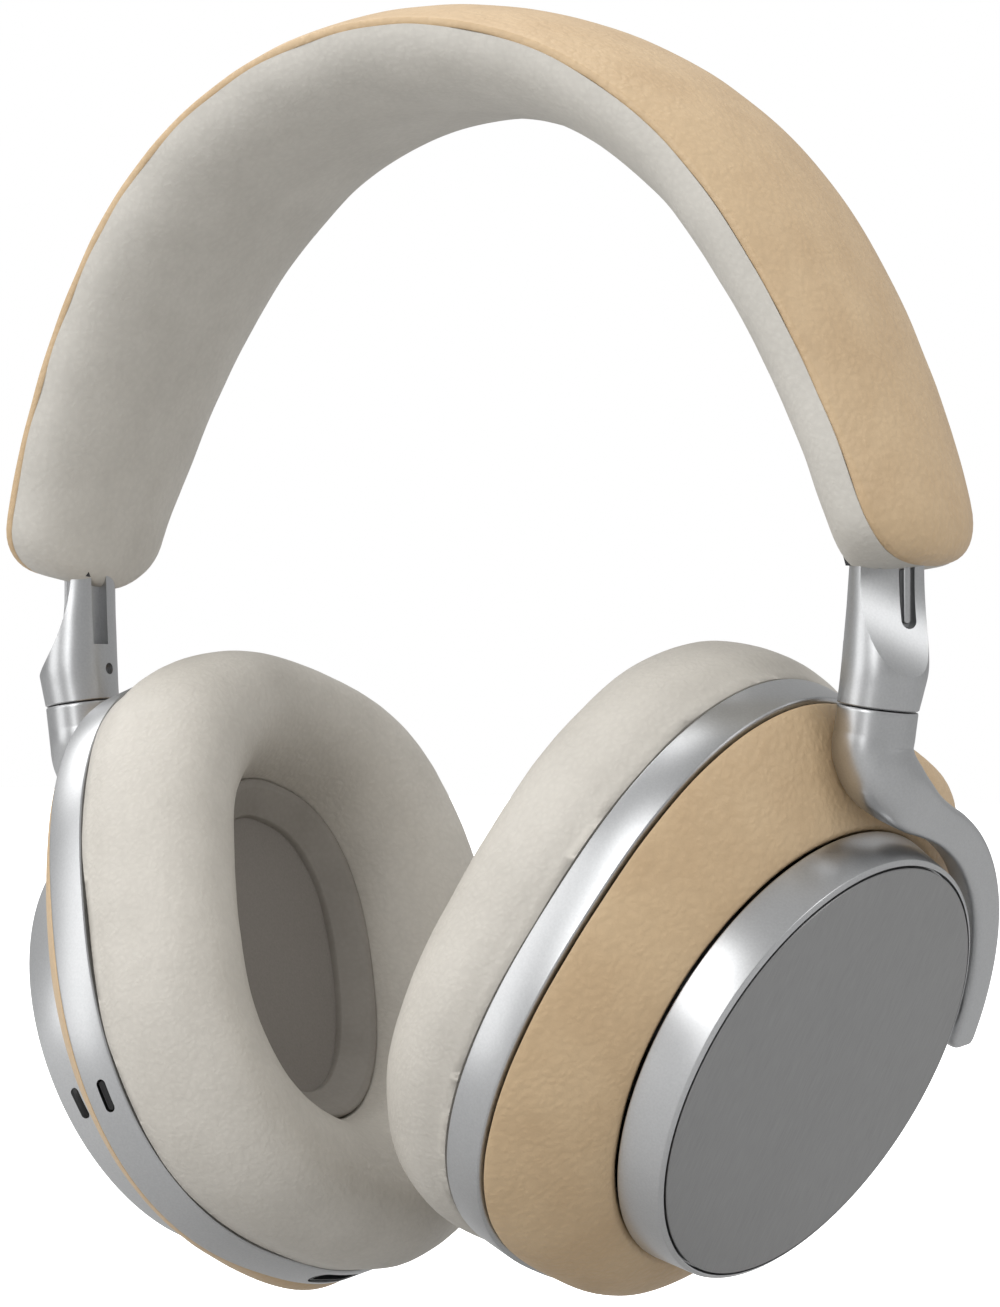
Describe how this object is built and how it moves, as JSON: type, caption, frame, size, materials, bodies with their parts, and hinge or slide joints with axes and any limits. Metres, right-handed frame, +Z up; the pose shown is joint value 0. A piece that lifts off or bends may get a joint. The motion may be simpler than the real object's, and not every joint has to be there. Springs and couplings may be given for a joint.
{
  "type": "over ear headphones",
  "caption": "Over-ear wireless headphones with a padded leather headband, sliding arms, swivelling yokes and tilting oval ear cups.",
  "frame": {"origin": "where the pad under the headband's crown rests on the head", "axes": "+Z up, +X to the wearer's left, -Y to the wearer's front"},
  "size_m": [0.1528, 0.0985, 0.1928],
  "materials": {
    "tan_leather": "fine grained tan leather with a soft sheen",
    "headband_leather": "soft greige leather, matt",
    "cushion_leather": "soft greige leather with a pebble grain",
    "satin_aluminium": "satin anodised",
    "brushed_aluminium": "brushed and anodised grey",
    "spring_steel": "satin steel",
    "dark_plastic": "moulded, matt",
    "black_plastic": "moulded, matt black",
    "ear_cloth": "thin open knit",
    "driver_cone": "coated paper cone",
    "circuit_board": "solder mask",
    "battery_wrap": "shrink wrap"
  },
  "bodies": {
    "headband": {"headband_cover": "tan_leather", "headband_pad": "headband_leather", "spring_band": "spring_steel", "slider_guide_left": "dark_plastic", "slide_stop_left": "dark_plastic", "slider_guide_right": "dark_plastic", "slide_stop_right": "dark_plastic"},
    "slider_left": {"slider_arm_left": "satin_aluminium", "detent_spring_left": "black_plastic", "arm_screw_left": "spring_steel"},
    "yoke_left": {"yoke_arm_left": "satin_aluminium", "pivot_pin_left": "spring_steel", "swivel_shaft_left": "spring_steel"},
    "cup_left": {"trim_ring_left": "satin_aluminium", "rear_shell_left": "tan_leather", "end_cap_left": "satin_aluminium", "pivot_bush_left": "dark_plastic", "end_plate_left": "brushed_aluminium", "cushion_left": "cushion_leather", "baffle_left": "dark_plastic", "ear_cloth_left": "ear_cloth", "driver_basket_left": "spring_steel", "driver_cone_left": "driver_cone", "circuit_board_left": "circuit_board", "ring_microphone_left": "black_plastic", "battery": "battery_wrap"},
    "power_button": {"power_button": "satin_aluminium"},
    "quick_action_button": {"quick_action_button": "satin_aluminium"},
    "slider_right": {"slider_arm_right": "satin_aluminium", "detent_spring_right": "black_plastic", "arm_screw_right": "spring_steel"},
    "yoke_right": {"yoke_arm_right": "satin_aluminium", "pivot_pin_right": "spring_steel", "swivel_shaft_right": "spring_steel"},
    "cup_right": {"trim_ring_right": "satin_aluminium", "rear_shell_right": "tan_leather", "end_cap_right": "satin_aluminium", "pivot_bush_right": "dark_plastic", "end_plate_right": "brushed_aluminium", "cushion_right": "cushion_leather", "baffle_right": "dark_plastic", "ear_cloth_right": "ear_cloth", "driver_basket_right": "spring_steel", "driver_cone_right": "driver_cone", "circuit_board_right": "circuit_board", "ring_microphone_right": "black_plastic", "radio_module": "spring_steel", "charging_socket": "black_plastic"},
    "volume_up_button": {"volume_up_button": "satin_aluminium"},
    "play_button": {"play_button": "satin_aluminium"},
    "volume_down_button": {"volume_down_button": "satin_aluminium"}
  },
  "joints": [
    {"name": "size_slide_left", "type": "slide", "parent": "headband", "child": "slider_left", "axis": [0.2756, 0, -0.9613], "range_m": [0, 0.022]},
    {"name": "swivel_left", "type": "hinge", "parent": "slider_left", "child": "yoke_left", "pos_m": [0.0685, 0, -0.08813], "axis": [0.1392, 0, 0.9903], "range_deg": [-75, 12]},
    {"name": "tilt_left", "type": "hinge", "parent": "yoke_left", "child": "cup_left", "pos_m": [0.05371, 0.00804, -0.13566], "axis": [0.1207, 0.9925, -0.017], "range_deg": [-12, 0.5]},
    {"name": "power_button_press", "type": "slide", "parent": "cup_left", "child": "power_button", "axis": [0.1733, -0.801, 0.5731], "range_m": [0, 0.0006], "stiffness_N_per_m": 400},
    {"name": "quick_action_button_press", "type": "slide", "parent": "cup_left", "child": "quick_action_button", "axis": [0.013, -0.9587, 0.2842], "range_m": [0, 0.0006], "stiffness_N_per_m": 400},
    {"name": "size_slide_right", "type": "slide", "parent": "headband", "child": "slider_right", "axis": [-0.2756, 0, -0.9613], "range_m": [0, 0.022]},
    {"name": "swivel_right", "type": "hinge", "parent": "slider_right", "child": "yoke_right", "pos_m": [-0.0685, 0, -0.08813], "axis": [-0.1392, 0, 0.9903], "range_deg": [-12, 75]},
    {"name": "tilt_right", "type": "hinge", "parent": "yoke_right", "child": "cup_right", "pos_m": [-0.05256, 0.00668, -0.1355], "axis": [0.0346, 0.9994, 0.0049], "range_deg": [-5, 9.6]},
    {"name": "volume_up_button_press", "type": "slide", "parent": "cup_right", "child": "volume_up_button", "axis": [-0.1041, -0.9783, 0.1793], "range_m": [0, 0.0006], "stiffness_N_per_m": 400},
    {"name": "play_button_press", "type": "slide", "parent": "cup_right", "child": "play_button", "axis": [-0.1715, -0.9165, 0.3615], "range_m": [0, 0.0006], "stiffness_N_per_m": 400},
    {"name": "volume_down_button_press", "type": "slide", "parent": "cup_right", "child": "volume_down_button", "axis": [-0.2485, -0.7785, 0.5764], "range_m": [0, 0.0006], "stiffness_N_per_m": 400}
  ]
}
